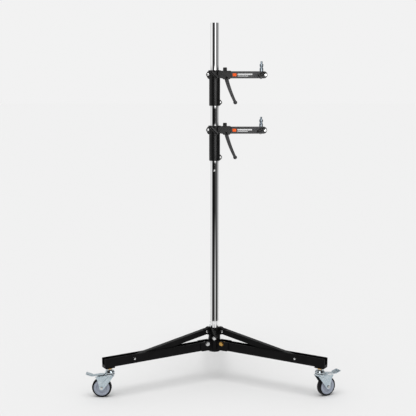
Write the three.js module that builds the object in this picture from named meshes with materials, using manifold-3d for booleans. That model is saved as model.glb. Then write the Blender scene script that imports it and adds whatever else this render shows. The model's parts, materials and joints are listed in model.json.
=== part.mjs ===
// Rolling column stand: a chrome column on a folding three-leg base with braked casters,
// and two identical side arms that roll up and down the column.
// Millimetres, +Z up. The column's axis is the Z axis and the floor is z = 0.
import * as THREE from 'three';
import { mergeVertices } from 'three/addons/utils/BufferGeometryUtils.js';
import Module from 'manifold-3d';

const wasm = await Module();
wasm.setup();

// ---------------------------------------------------------------- driving dimensions
const HEIGHT = 1524; // top of the column above the floor
const COLUMN_R = 17.5;
const COLUMN_BORE_R = 15.5;
const RUNNING_GAP = 0.4; // between parts that slide or turn on each other
const FIXED_GAP = 0.3; // between parts that are fastened together
const ROUND = { large: 28, medium: 16, small: 10 }; // facets around large, medium and small round shapes

const BUTTON = { z: 909, r: 5, hole: 5.4, out: 4, flangeR: 7 };
const HUB = { r: 25.5, bottom: 122, top: 196 };
const BRACKET = { webIn: 23, web: 28, end: 78, earIn: 17, earOut: 20, low: 132, high: 172, round: 8 };
const LEG_PIVOT = { t: 46, z: 162 }; // t is the distance out from the column's axis
const LEG = { width: 32, height: 38, wall: 2, drop: 10, inner: -8, outer: 475, tilt: 0.8 };
const STRUT = { width: 24, height: 23, wall: 2, foot: 344 };
const COLLAR = { r: 26, bottom: 198, top: 226, pinT: 43.7, pinZ: 214.4 };
const TONGUE = { width: 18, r: 9, shoulder: 232 }; // of the collar, one for each strut
const CASTER_T = 496; // swivel axis out from the column's axis
const WHEEL = { r: 40, coreR: 33, width: 24, boss: 12, rim: 24 };
const FORK = { trail: 33, headR: 21, headTop: 112, headLow: 92, plate: 2.4, half: 17, bossR: 9.8, bore: 8.2 };
const STEM = { r: 7.5, collarR: 10, neckR: 5.9, nutR: 9.5, nut: 5.2, holeR: 7 };
// The end piece closes a leg's end, with a slot for the folded strut, and pads the leg's underside.
const LEG_END = { length: 42, depth: 5, round: 6, plate: 3, slot: 12.7, slotLow: -18 };

const ARM_Z = { upper: 1310, lower: 1079 }; // centre line of each arm's bar
const SLEEVE = { r: 23, bore: 19.6, flangeR: 26.5, top: 19, bottom: -129, flange: 4 };
const TOP_ROLLER = { x: -27, z: 1, r: 9.1, headR: 5.6 };
const LOW_ROLLER = { x: 24.8, z: -115, r: 6.9, headR: 4.9 };
const BLOCK = { end: 69, low: -15, high: 17, half: 17 };
const BAR = { start: 34, end: 221, half: 14.7, depth: 20 };
const LEVER = { x: 50, z: -19, ballX: 87, ballZ: -115, ballR: 8.3 };
const STUD = { x: 196, r: 7.95, top: 45, tipR: 4.7, tipTop: 56 };
const KNOB_X = 43.5;
const KNOB_Z = 212; // collar clamp screw
// T handles along Y: screw point, boss end, bar; then the bar's end radius, span and turn about Y.
const HANDLE = { depth: 9, bossR: 8, shaftR: 3.6 };
const COLLAR_HANDLE = { tip: -18.6, neck: -38, out: -60, barR: 5.4, span: 34, turn: 66 };
const SLEEVE_HANDLE = { tip: -19.5, neck: -34, out: -52, barR: 7, span: 28, turn: 45 };
const TIP_HANDLE = { tip: -8.6, neck: -12, out: -28, barR: 6.4, span: 23, turn: -28 };
const PIN_R = 3.9;
const PIN_HOLE_R = 4.6;

const LEGS = [
  { side: 'left', heading: 210, trail: 180 },
  { side: 'right', heading: 330, trail: 30 },
  { side: 'rear', heading: 90, trail: 90 },
];

// ---------------------------------------------------------------- finishes
const finish = (color, roughness, metalness) => ({ color, roughness, metalness });
const CHROME = finish(0xd8dadb, 0.08, 1);
const BLACK_PAINT = finish(0x17171a, 0.42, 0.1);
const BLACK_PLASTIC = finish(0x141414, 0.55, 0);
const ARM_GREY = finish(0x3c3c3e, 0.45, 0.3);
const ZINC = finish(0xb9c1c6, 0.35, 0.9);
const STEEL = finish(0xc8c9ca, 0.25, 1);
const WHEEL_GREY = finish(0x9fa1ab, 0.5, 0);
const TYRE_BLACK = finish(0x1b1b1d, 0.75, 0);
const NYLON = finish(0x2a2a2c, 0.6, 0);

// ---------------------------------------------------------------- solid helpers
const rad = THREE.MathUtils.degToRad;

/** A manifold solid from a closed three.js geometry, with its faces pointing out. */
function solid(geometry) {
  const bare = geometry.clone();
  for (const name of Object.keys(bare.attributes)) {
    if (name !== 'position') bare.deleteAttribute(name);
  }
  const merged = mergeVertices(bare, 1e-4);
  const triVerts = Uint32Array.from(merged.index.array);
  const make = () => new wasm.Manifold(
    new wasm.Mesh({ numProp: 3, vertProperties: merged.attributes.position.array, triVerts }),
  );
  const first = make();
  if (first.volume() > 0) return first;
  for (let i = 0; i < triVerts.length; i += 3) {
    [triVerts[i + 1], triVerts[i + 2]] = [triVerts[i + 2], triVerts[i + 1]];
  }
  return make();
}

/** A three.js geometry from a manifold solid. */
function geometryOf(body) {
  const mesh = body.getMesh();
  const geometry = new THREE.BufferGeometry();
  geometry.setAttribute('position', new THREE.BufferAttribute(new Float32Array(mesh.vertProperties), 3));
  geometry.setIndex(new THREE.BufferAttribute(new Uint32Array(mesh.triVerts), 1));
  geometry.computeVertexNormals();
  return geometry;
}

const union = (...bodies) => bodies.reduce((sum, body) => sum.add(body));
const cut = (body, ...tools) => tools.reduce((rest, tool) => rest.subtract(tool), body);

/** A box between two corners. */
function box(low, high) {
  const size = high.map((value, i) => value - low[i]);
  const middle = high.map((value, i) => (value + low[i]) / 2);
  return solid(new THREE.BoxGeometry(...size).translate(...middle));
}

/** A round bar along an axis ('x', 'y' or 'z') from a to b, at the other two coordinates of centre. */
function rod(axis, radius, a, b, centre = [0, 0, 0], sides = ROUND.medium) {
  const geometry = new THREE.CylinderGeometry(radius, radius, b - a, sides);
  geometry.translate(0, (a + b) / 2, 0);
  if (axis === 'x') geometry.rotateZ(-Math.PI / 2);
  if (axis === 'z') geometry.rotateX(Math.PI / 2);
  return solid(geometry.translate(...centre));
}

/** A solid of revolution about the Z axis; profile is a closed list of [radius, z]. */
function turned(profile, sides = ROUND.medium) {
  const points = [...profile, profile[0]].map(([r, z]) => new THREE.Vector2(r, z));
  return solid(new THREE.LatheGeometry(points, sides).rotateX(Math.PI / 2));
}

const tube = (outer, inner, low, high, sides = ROUND.large) => turned(
  [[inner, low], [outer, low], [outer, high], [inner, high]],
  sides,
);

/** A plate: an outline in the XZ plane, given thickness along Y from y0 to y1. */
function plate(outline, y0, y1, curveSegments = 4) {
  const geometry = new THREE.ExtrudeGeometry(outline, { depth: y1 - y0, bevelEnabled: false, curveSegments });
  return solid(geometry.rotateX(Math.PI / 2).translate(0, y1, 0));
}

/** An outline through points, each corner rounded by its third value where it has one. */
function outlineOf(points) {
  const shape = new THREE.Shape();
  const count = points.length;
  points.forEach(([x, z, round = 0], i) => {
    const corner = new THREE.Vector2(x, z);
    if (round === 0) {
      if (i === 0) shape.moveTo(x, z);
      else shape.lineTo(x, z);
      return;
    }
    const towards = (j) => {
      const [px, pz] = points[(j + count) % count];
      return new THREE.Vector2(px, pz).sub(corner).setLength(round).add(corner);
    };
    const from = towards(i - 1);
    const to = towards(i + 1);
    if (i === 0) shape.moveTo(from.x, from.y);
    else shape.lineTo(from.x, from.y);
    shape.quadraticCurveTo(x, z, to.x, to.y);
  });
  return shape;
}

/** A flat link with round ends of radius r around two points of the XZ plane. */
function link(ax, az, bx, bz, r, y0, y1, rEnd = r) {
  const along = Math.atan2(bz - az, bx - ax);
  const shape = new THREE.Shape();
  shape.absarc(ax, az, r, along + Math.PI / 2, along + Math.PI * 1.5, false);
  shape.absarc(bx, bz, rEnd, along - Math.PI / 2, along + Math.PI / 2, false);
  return plate(shape, y0, y1, 5);
}

/** Turns a solid about the Z axis. */
const headed = (body, degrees) => body.rotate([0, 0, degrees]);

const stand = new THREE.Group();

/** Adds a named mesh to a group. */
function place(group, name, body, look) {
  const mesh = new THREE.Mesh(geometryOf(body), new THREE.MeshStandardMaterial(look));
  mesh.name = name;
  group.add(mesh);
  return mesh;
}

/** A group inside parent, moved to a position and turned about Z, then tipped about its own Y. */
function frameAt(parent, [x, y, z], heading = 0, tip = 0) {
  const group = new THREE.Group();
  group.position.set(x, y, z);
  group.rotation.set(0, rad(tip), rad(heading), 'ZYX');
  parent.add(group);
  return group;
}

// ---------------------------------------------------------------- column and hub
function columnTube() {
  const body = tube(COLUMN_R, COLUMN_BORE_R, HUB.bottom + 3, HEIGHT, 40);
  return cut(body, rod('y', BUTTON.hole, -COLUMN_R - 2, 0, [0, 0, BUTTON.z], ROUND.small));
}

/** Spring button in the column's wall: a round head outside, a flange inside. */
function stopButton() {
  const head = rod('y', BUTTON.r, -COLUMN_R - BUTTON.out, -9, [0, 0, BUTTON.z], ROUND.small);
  const flange = rod('y', BUTTON.flangeR, -10, -7.5, [0, 0, BUTTON.z], ROUND.small);
  return union(head, flange);
}

function columnCap() {
  return rod('z', COLUMN_BORE_R - FIXED_GAP, HEIGHT - 22, HEIGHT - 0.5, [0, 0, 0], ROUND.large);
}

/** One U-shaped leg bracket of the hub, along +X. */
function hubBracket() {
  const { webIn, web: webOut, end, earIn, earOut, low, high, round } = BRACKET;
  const ear = () => outlineOf([[webIn, low], [end, low, round], [end, high, round], [webIn, high]]);
  const web = box([webIn, -earOut, low], [webOut, earOut, high]);
  const bracket = union(web, plate(ear(), earIn, earOut), plate(ear(), -earOut, -earIn));
  return cut(bracket, rod('y', PIN_HOLE_R, -30, 30, [LEG_PIVOT.t, 0, LEG_PIVOT.z], ROUND.small));
}

function hub() {
  const brackets = LEGS.map(({ heading }) => headed(hubBracket(), heading));
  const body = union(rod('z', HUB.r, HUB.bottom, HUB.top, [0, 0, 0], ROUND.large), ...brackets);
  return cut(body, rod('z', COLUMN_R + FIXED_GAP, HUB.bottom - 1, HUB.top + 1, [0, 0, 0], ROUND.large));
}

/** A pin along Y with a head at each end, whose inner faces are inset either side of the middle. */
function headedPin(radius, headR, inset, head, headSides = 12) {
  const reach = inset + head;
  return union(
    rod('y', radius, -reach, reach, [0, 0, 0], ROUND.small),
    rod('y', headR, -reach, -inset, [0, 0, 0], headSides),
    rod('y', headR, inset, reach, [0, 0, 0], headSides),
  );
}

// ---------------------------------------------------------------- collar
function collarTongue() {
  const { pinT, pinZ } = COLLAR;
  const { width, r, shoulder } = TONGUE;
  const outline = new THREE.Shape();
  outline.moveTo(20, COLLAR.bottom);
  outline.lineTo(pinT - 6, COLLAR.bottom);
  outline.absarc(pinT, pinZ, r, rad(-120), rad(90), false);
  outline.lineTo(31, shoulder);
  outline.lineTo(24, shoulder);
  outline.lineTo(20, COLLAR.top);
  const body = plate(outline, -width / 2, width / 2, 5);
  return cut(body, rod('y', PIN_HOLE_R, -20, 20, [pinT, 0, pinZ], ROUND.small));
}

function collar() {
  const tongues = LEGS.map(({ heading }) => headed(collarTongue(), heading));
  const boss = rod('y', 9, -36, -20, [0, 0, KNOB_Z], ROUND.medium);
  const body = union(rod('z', COLLAR.r, COLLAR.bottom, COLLAR.top, [0, 0, 0], ROUND.large), boss, ...tongues);
  const bore = rod('z', COLUMN_R + RUNNING_GAP, COLLAR.bottom - 5, COLLAR.top + 10, [0, 0, 0], ROUND.large);
  return cut(body, bore, rod('y', PIN_HOLE_R, -40, -10, [0, 0, KNOB_Z], ROUND.small));
}

/** T-handle screw: shaft along Y with its point at y = tip, bar across the outer end at y = out. */
function tHandle({ tip, neck, out, barR, span, turn }) {
  const { depth, bossR, shaftR } = HANDLE;
  const bar = link(-span / 2, 0, span / 2, 0, barR, out, out + depth);
  const boss = rod('y', bossR, out + 5, neck, [0, 0, 0], 12);
  const shaft = rod('y', shaftR, neck - 1, tip, [0, 0, 0], 8);
  return union(bar.rotate([0, turn, 0]), boss, shaft);
}

// ---------------------------------------------------------------- legs and struts
/** Leg in its own frame: origin on the pivot, +X outwards along the leg. */
function leg() {
  const { width, height, wall, drop, inner, outer } = LEG;
  const half = width / 2;
  const low = -drop - height / 2;
  const high = low + height;
  const side = outlineOf([[inner, low, 6], [outer, low], [outer, high, 3], [inner, high, 6]]);
  const { length, depth, round, plate: thick, slot, slotLow } = LEG_END;
  const under = low - depth;
  const face = outer + 2;
  const back = face - thick;
  const end = outlineOf([
    [outer - length, low + 1], [outer - length, under, 2],
    [face, under, round], [face, high, 3],
    [back, high], [back, low + 1],
  ]);
  const body = union(plate(side, -half, half), plate(end, -half, half));
  const hollow = box([inner - 1, -half + wall, low + wall], [back, half - wall, high + 1]);
  const strutSlot = box([back - 1, -slot, slotLow], [face + 1, slot, high + 1]);
  const swivelX = (CASTER_T - LEG_PIVOT.t) * Math.cos(rad(LEG.tilt)) - low * Math.sin(rad(LEG.tilt));
  return cut(
    body,
    hollow,
    strutSlot,
    rod('y', PIN_HOLE_R, -30, 30, [0, 0, 0], ROUND.small),
    rod('y', PIN_HOLE_R, -30, 30, [STRUT.foot, 0, -drop], ROUND.small),
    rod('z', STEM.holeR, low - 10, low + 10, [swivelX, 0, 0], ROUND.small),
  );
}

/** Distance and slope from the strut's foot on the leg to its pin on the collar. */
function strutLine() {
  const tilt = rad(LEG.tilt);
  const footT = LEG_PIVOT.t + STRUT.foot * Math.cos(tilt) - LEG.drop * Math.sin(tilt);
  const footZ = LEG_PIVOT.z - STRUT.foot * Math.sin(tilt) - LEG.drop * Math.cos(tilt);
  const back = footT - COLLAR.pinT;
  const rise = COLLAR.pinZ - footZ;
  const slope = THREE.MathUtils.radToDeg(Math.atan2(rise, back));
  return { footT, footZ, length: Math.hypot(back, rise), slope };
}

/** Strut in its own frame: origin on the foot pin, +X towards the collar pin. */
function strut(length) {
  const half = STRUT.width / 2;
  const edge = STRUT.height / 2;
  const cheeks = link(0, 0, length, 0, edge, -half, half);
  const inside = half - STRUT.wall;
  const past = length + edge + 1;
  const hollow = box([-edge - 1, -inside, -edge - 1], [past, inside, edge - STRUT.wall]);
  const footSlot = box([-edge - 1, -inside, 0], [14, inside, edge + 1]);
  const headSlot = box([length - 12, -inside, 0], [past, inside, edge + 1]);
  return cut(
    cheeks,
    hollow,
    footSlot,
    headSlot,
    rod('y', PIN_HOLE_R, -20, 20, [0, 0, 0], ROUND.small),
    rod('y', PIN_HOLE_R, -20, 20, [length, 0, 0], ROUND.small),
  );
}

// ---------------------------------------------------------------- casters
/** Stem with its nut above the leg's floor and a collar under the leg's pad; its origin is on the floor. */
function casterStem() {
  const floor = LEG_PIVOT.z - LEG.drop - LEG.height / 2 - (CASTER_T - LEG_PIVOT.t) * Math.tan(rad(LEG.tilt));
  const padUnder = floor - LEG_END.depth;
  const seat = floor + LEG.wall + 0.8;
  const { r, collarR, neckR, nutR, nut } = STEM;
  return turned([
    [0, FORK.headTop - 8], [r, FORK.headTop - 8], [r, padUnder - 2.6],
    [collarR, padUnder - 2.6], [collarR, padUnder - 0.8],
    [neckR, padUnder - 0.8], [neckR, seat],
    [nutR, seat], [nutR, seat + nut], [0, seat + nut],
  ], ROUND.small);
}

/** Fork with its swivel head; the swivel axis is the Z axis and the wheel trails along +X. */
function casterFork() {
  const { trail, headR, headTop, headLow, plate: thick, half, bossR, bore } = FORK;
  const cheek = () => {
    const shape = new THREE.Shape();
    shape.moveTo(-headR + 2, headLow);
    shape.lineTo(trail - 8.5, WHEEL.r - 5);
    shape.absarc(trail, WHEEL.r, bossR, rad(210), rad(345), false);
    shape.quadraticCurveTo(trail + 8, 70, trail + 24, 84);
    shape.lineTo(trail + 24, headLow - 4);
    shape.lineTo(headR, headLow);
    return shape;
  };
  const cheeks = union(plate(cheek(), half - thick, half), plate(cheek(), -half, -half + thick));
  const bridge = box([-headR + 5, -half, headLow - thick], [headR, half, headLow]);
  const head = turned([
    [bore, headLow - 1], [headR - 2, headLow - 1], [headR, headLow + 4],
    [headR - 1, headTop - 5], [headR - 5, headTop], [bore, headTop],
  ]);
  const stemRoom = rod('z', bore, headLow - 10, headTop + 1);
  const axleHole = rod('y', PIN_HOLE_R, -30, 30, [trail, 0, WHEEL.r], ROUND.small);
  return cut(union(cheeks, bridge, head), stemRoom, axleHole);
}

/** Brake pedal: a bent tread that runs back over the wheel, hinged behind the swivel head. */
function brakePedal() {
  const inside = FORK.half - FORK.plate - 0.8;
  const arm = outlineOf([
    [24, 93.2], [40, 92.4], [68, 87.6], [97, 96.6],
    [97, 99.6, 1.5], [68, 90.8], [40, 95.6], [24, 96.4],
  ]);
  const tread = outlineOf([[72, 88.6], [97, 96.4], [97, 100, 2], [72, 92.2]]);
  return union(plate(arm, -inside + 2, inside - 2), plate(tread, -16, 16));
}

/** Wheel centre turned about Y, with stepped rings on both faces. */
function wheelCore() {
  const { coreR, width, boss, rim } = WHEEL;
  const half = width / 2;
  const face = [
    [PIN_HOLE_R, half + 1], [boss - 2, half + 1], [boss, half - 4],
    [rim - 2, half - 4], [rim, half - 1], [coreR - 0.2, half - 0.5],
  ];
  const back = face.map(([r, y]) => [r, -y]).reverse();
  return turned([...face, ...back], 20).rotate([90, 0, 0]);
}

/** Tyre, turned about Y. */
function tyre() {
  const { coreR, r, width } = WHEEL;
  const half = width / 2;
  const seat = coreR + 0.1;
  return turned([
    [seat, -half], [r - 4, -half], [r, -half + 4.5],
    [r, half - 4.5], [r - 4, half], [seat, half],
  ], ROUND.large).rotate([90, 0, 0]);
}

function buildCaster(legGroup, side, trail) {
  place(legGroup, `caster_stem_${side}`, casterStem(), STEEL);
  const caster = frameAt(legGroup, [0, 0, 0], trail);
  place(caster, `caster_fork_${side}`, casterFork(), ZINC);
  place(caster, `brake_pedal_${side}`, brakePedal(), ZINC);
  const wheel = frameAt(caster, [FORK.trail, 0, WHEEL.r]);
  place(wheel, `wheel_${side}`, wheelCore(), WHEEL_GREY);
  place(wheel, `tyre_${side}`, tyre(), TYRE_BLACK);
}

function buildLeg({ side, heading, trail }) {
  const reach = frameAt(stand, [0, 0, 0], heading);
  const pivot = frameAt(reach, [LEG_PIVOT.t, 0, LEG_PIVOT.z], 0, LEG.tilt);
  place(pivot, `leg_${side}`, leg(), BLACK_PAINT);
  const strutPin = headedPin(PIN_R, 4.6, LEG.width / 2 + FIXED_GAP, 2);
  place(pivot, `strut_pin_${side}`, strutPin.translate([STRUT.foot, 0, -LEG.drop]), STEEL);
  const bolt = headedPin(PIN_R, 8.6, BRACKET.earOut + FIXED_GAP, 4.5, 6);
  place(reach, `leg_bolt_${side}`, bolt.translate([LEG_PIVOT.t, 0, LEG_PIVOT.z]), STEEL);
  const line = strutLine();
  const foot = frameAt(reach, [line.footT, 0, line.footZ], 180, 0);
  const rise = frameAt(foot, [0, 0, 0], 0, -line.slope);
  place(rise, `strut_${side}`, strut(line.length), BLACK_PAINT);
  const pin = headedPin(PIN_R, 5.6, STRUT.width / 2 + FIXED_GAP, 2.5);
  place(reach, `collar_pin_${side}`, pin.translate([COLLAR.pinT, 0, COLLAR.pinZ]), STEEL);
  const under = frameAt(reach, [CASTER_T, 0, 0]);
  buildCaster(under, side, trail - heading);
}

// ---------------------------------------------------------------- side arms
/** Sleeve casting: tube, top flange, roller cheeks, and the block that holds the bar and the lever. */
function armSleeve() {
  const { r, bore, flangeR, top, bottom, flange } = SLEEVE;
  const barrel = union(
    rod('z', r, bottom, top, [0, 0, 0], ROUND.large),
    rod('z', flangeR, top - flange, top, [0, 0, 0], ROUND.large),
  );
  const topCheeks = plate(outlineOf([
    [0, 16], [-28, 16, 8], [-36.5, 1, 8], [-28, -17, 8], [0, -20],
  ]), -12, 12);
  const lowCheeks = plate(outlineOf([
    [0, -99], [24, -103, 6], [34.5, -115, 8], [24, -126, 7], [0, -127],
  ]), -12, 12);
  const blockShape = outlineOf([
    [10, BLOCK.low + 3], [34, BLOCK.low, 4], [36, BLOCK.low - 4, 3], [64, BLOCK.low - 4, 5],
    [BLOCK.end, BLOCK.low + 4, 4], [BLOCK.end, BLOCK.high, 3], [10, BLOCK.high],
  ]);
  const block = plate(blockShape, -BLOCK.half, BLOCK.half);
  const knobBoss = rod('y', 9.5, -32, -18);
  const body = union(barrel, topCheeks, lowCheeks, block, knobBoss);
  const barSlot = box([BAR.start - 1, -BAR.depth / 2 - FIXED_GAP, -BAR.half - FIXED_GAP],
    [BLOCK.end + 5, BAR.depth / 2 + FIXED_GAP, BLOCK.high + 2]);
  const leverSlot = box([36, -6.5, BLOCK.low - 10], [64, 6.5, -10]);
  return cut(
    body,
    rod('z', bore, bottom - 1, top + 1, [0, 0, 0], ROUND.large),
    rollerRoom(TOP_ROLLER),
    rollerRoom(LOW_ROLLER),
    barSlot,
    leverSlot,
    rod('y', PIN_HOLE_R, -40, -10, [0, 0, 0], ROUND.small),
  );
}

/** Room for a roller and its axle: a slot across the sleeve's wall and a cross hole. */
function rollerRoom({ x, z, r }) {
  const outward = Math.sign(x);
  const inner = outward * 12;
  const outer = x + outward * 30;
  const room = r + 1;
  return union(
    box([Math.min(inner, outer), -6.2, z - room], [Math.max(inner, outer), 6.2, z + room]),
    rod('y', 3.4, -20, 20, [x, 0, z], ROUND.small),
  );
}

const roller = ({ r }) => turned([
  [3.3, -5.2], [r - 1, -5.2], [r, -4.2], [r, 4.2], [r - 1, 5.2], [3.3, 5.2],
]).rotate([90, 0, 0]);

const rollerAxle = ({ headR }) => headedPin(2.9, headR, 12.3, 3);

/** Guide bush that lines the sleeve between its two rollers and runs on the column. */
function liner() {
  const low = LOW_ROLLER.z + LOW_ROLLER.r + 2;
  const high = TOP_ROLLER.z - TOP_ROLLER.r - 2;
  return tube(SLEEVE.bore - 0.5, COLUMN_R + RUNNING_GAP, low, high);
}

/** Flat bar with a round end, a stud socket and a lever slot. */
function armBar() {
  const { start, end, half, depth } = BAR;
  const outline = new THREE.Shape();
  outline.moveTo(start, half);
  outline.lineTo(start, -half);
  outline.absarc(end - half, 0, half, rad(-90), rad(90), false);
  const body = plate(outline, -depth / 2, depth / 2, 6);
  return cut(
    body,
    rod('z', STUD.r + RUNNING_GAP, -9, 20, [STUD.x, 0, 0]),
    rod('z', 4, -20, -5, [STUD.x, 0, 0], ROUND.small),
    box([35, -6.8, -20], [65, 6.8, 6]),
    rod('y', PIN_HOLE_R, -20, 0, [STUD.x, 0, 2], ROUND.small),
    rod('z', PIN_HOLE_R, 2, 20, [KNOB_X, 0, 0], ROUND.small),
  );
}

/** Brake lever: an eye on its pin, a tapered bow-shaped blade and a ball end. */
function brakeLever() {
  const { x, z, ballX, ballZ, ballR } = LEVER;
  const steps = 6;
  const centre = (s) => [x + (ballX - x) * (0.72 * s + 0.28 * s * s), z + (ballZ - z) * s];
  const halfWidth = (s) => 8.4 - 1.9 * s;
  const left = [];
  const right = [];
  for (let i = 0; i <= steps; i += 1) {
    const s = i / steps;
    const [cx, cz] = centre(s);
    left.push([cx - halfWidth(s), cz]);
    right.unshift([cx + halfWidth(s), cz]);
  }
  const blade = plate(outlineOf([...left, ...right]), -5, 5);
  const eye = rod('y', 7.5, -5, 5, [x, 0, z + 3]);
  const ball = solid(new THREE.SphereGeometry(ballR, 12, 8).translate(ballX, 0, ballZ));
  return union(blade, eye, ball);
}

/** Tension knob on top of the block, with its screw. */
function adjuster() {
  return turned([
    [0, 8.5], [3.6, 8.5], [3.6, 15.5], [8, 15.5], [8.5, 17], [8.5, 29.5], [7.5, 31], [0, 31],
  ]).translate([KNOB_X, 0, 0]);
}

/** Removable stud with a neck groove and a threaded tip. */
function stud() {
  const { r, top, tipR, tipTop } = STUD;
  return turned([
    [0, -8.5], [r, -8.5], [r, 27], [r - 1.8, 28.5], [r - 1.8, 34], [r, 35.5],
    [r, top - 1], [r - 1, top], [tipR, top], [tipR, tipTop - 1], [tipR - 1, tipTop], [0, tipTop],
  ]).translate([STUD.x, 0, 0]);
}

function buildArm(name, z) {
  const arm = frameAt(stand, [0, 0, z]);
  place(arm, `${name}_liner`, liner(), NYLON);
  place(arm, `${name}_sleeve`, armSleeve(), BLACK_PAINT);
  place(arm, `${name}_bar`, armBar(), ARM_GREY);
  for (const [label, at] of [['top', TOP_ROLLER], ['low', LOW_ROLLER]]) {
    const axis = frameAt(arm, [at.x, 0, at.z]);
    place(axis, `${name}_${label}_roller`, roller(at), BLACK_PLASTIC);
    place(axis, `${name}_${label}_axle`, rollerAxle(at), STEEL);
  }
  place(arm, `${name}_lever`, brakeLever(), ARM_GREY);
  place(arm, `${name}_adjuster`, adjuster(), BLACK_PLASTIC);
  place(arm, `${name}_sleeve_knob`, tHandle(SLEEVE_HANDLE), BLACK_PLASTIC);
  place(frameAt(arm, [STUD.x, 0, 2]), `${name}_tip_knob`, tHandle(TIP_HANDLE), BLACK_PLASTIC);
  place(arm, `${name}_stud`, stud(), CHROME);
}

// ---------------------------------------------------------------- assembly
place(stand, 'column_tube', columnTube(), CHROME);
place(stand, 'column_cap', columnCap(), BLACK_PLASTIC);
place(stand, 'stop_button', stopButton(), STEEL);
place(stand, 'hub', hub(), BLACK_PAINT);
place(stand, 'collar', collar(), BLACK_PAINT);
place(frameAt(stand, [0, 0, KNOB_Z]), 'collar_knob', tHandle(COLLAR_HANDLE), BLACK_PLASTIC);
LEGS.forEach(buildLeg);
Object.entries(ARM_Z).forEach(([name, z]) => buildArm(name, z));

// The part's origin is on the floor, under the middle of its bounding box.
const bounds = new THREE.Box3().setFromObject(stand, true);
stand.position.set(-(bounds.min.x + bounds.max.x) / 2, -(bounds.min.y + bounds.max.y) / 2, 0);
const part = new THREE.Group();
part.add(stand);
part.updateMatrixWorld(true);

export default part;
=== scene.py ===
"""Rolling column stand with two side arms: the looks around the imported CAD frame.

Each shape is made in millimetres in its own local frame, with the directions that the CAD source uses, and is
then placed in the row frame in metres. Local frames: the stand has its column on +Z and the floor at 0, a leg
runs along +X from its pivot, a caster trails along +X, and an arm's bar runs along +X from the column.
"""
import json
import math

import bmesh
import bpy
from mathutils import Matrix, Vector


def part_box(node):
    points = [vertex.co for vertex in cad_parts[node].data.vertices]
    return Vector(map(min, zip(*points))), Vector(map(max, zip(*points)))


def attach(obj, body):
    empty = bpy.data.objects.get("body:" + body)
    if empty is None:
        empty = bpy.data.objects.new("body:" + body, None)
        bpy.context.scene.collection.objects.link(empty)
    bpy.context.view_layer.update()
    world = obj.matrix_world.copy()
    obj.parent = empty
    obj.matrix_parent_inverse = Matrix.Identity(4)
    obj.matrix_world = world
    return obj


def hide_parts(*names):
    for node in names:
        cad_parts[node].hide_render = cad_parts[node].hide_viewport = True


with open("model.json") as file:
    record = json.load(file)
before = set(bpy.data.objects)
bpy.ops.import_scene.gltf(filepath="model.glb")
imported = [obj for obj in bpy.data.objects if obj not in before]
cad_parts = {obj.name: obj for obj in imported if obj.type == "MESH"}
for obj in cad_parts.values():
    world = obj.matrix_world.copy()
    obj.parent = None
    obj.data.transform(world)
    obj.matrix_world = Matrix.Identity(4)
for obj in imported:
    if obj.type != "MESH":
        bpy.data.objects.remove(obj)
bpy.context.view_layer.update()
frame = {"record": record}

# ------------------------------------------------------------------ sizes, in millimetres, as in the CAD
HEIGHT = 1524
COLUMN_R, BORE_R = 17.5, 15.5
BUTTON_Z = 909
HUB_R, HUB_LOW, HUB_HIGH = 25.5, 122, 196
EAR_IN, EAR_OUT = 17, 20
PIVOT_T, PIVOT_Z = 46, 162
LEG_TILT, LEG_WIDTH, LEG_HEIGHT, LEG_WALL, LEG_DROP = 0.8, 32, 38, 2, 10
LEG_INNER, LEG_OUTER, LEG_END, LEG_END_PLATE, PAD_DEPTH = -8, 475, 42, 3, 5
STRUT_WIDTH, STRUT_HEIGHT, STRUT_FOOT, STRUT_SLOT = 24, 23, 344, 12.7
PIN_R, PIN_HOLE_R, FIXED_GAP = 3.9, 4.6, 0.3
COLLAR_R, COLLAR_LOW, COLLAR_HIGH = 26, 198, 226
COLLAR_PIN_T, COLLAR_PIN_Z = 43.7, 214.4
KNOB_Z = 212
CASTER_T, TRAIL, WHEEL_R = 496, 33, 40
ARM_HEIGHTS = {"upper": 1310, "lower": 1079}
TOP_ROLLER = {"x": -27, "z": 1, "r": 9.1, "head": 5.6}
LOW_ROLLER = {"x": 24.8, "z": -115, "r": 6.9, "head": 4.9}
STUD_X, KNOB_X = 196, 43.5
BAR_START, BAR_END, BAR_HALF, BAR_FACE = 34, 221, 14.7, 10
BORE_OF_SLEEVE = 19.6
# T grips: screw point, boss end and bar along Y; the bar's end radius, span between its ends and turn about Y
COLLAR_GRIP = {"tip": -18.6, "neck": -38, "out": -60, "radius": 5.4, "span": 34, "angle": 66}
SLEEVE_GRIP = {"tip": -19.5, "neck": -34, "out": -52, "radius": 7, "span": 28, "angle": 45}
TIP_GRIP = {"tip": -8.6, "neck": -12, "out": -28, "radius": 6.4, "span": 23, "angle": -28}
LEGS = {"left": (210, 180), "right": (330, 30), "rear": (90, 90)}  # heading and caster trail, in degrees


# ------------------------------------------------------------------ frames
def turn(degrees, axis):
    return Matrix.Rotation(math.radians(degrees), 4, axis)


def shift(x=0.0, y=0.0, z=0.0):
    return Matrix.Translation((x, y, z))


tube_low, tube_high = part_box("column_tube")
axis_point = (tube_low + tube_high) / 2
STAND = shift(axis_point.x, axis_point.y) @ Matrix.Scale(0.001, 4)


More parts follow.
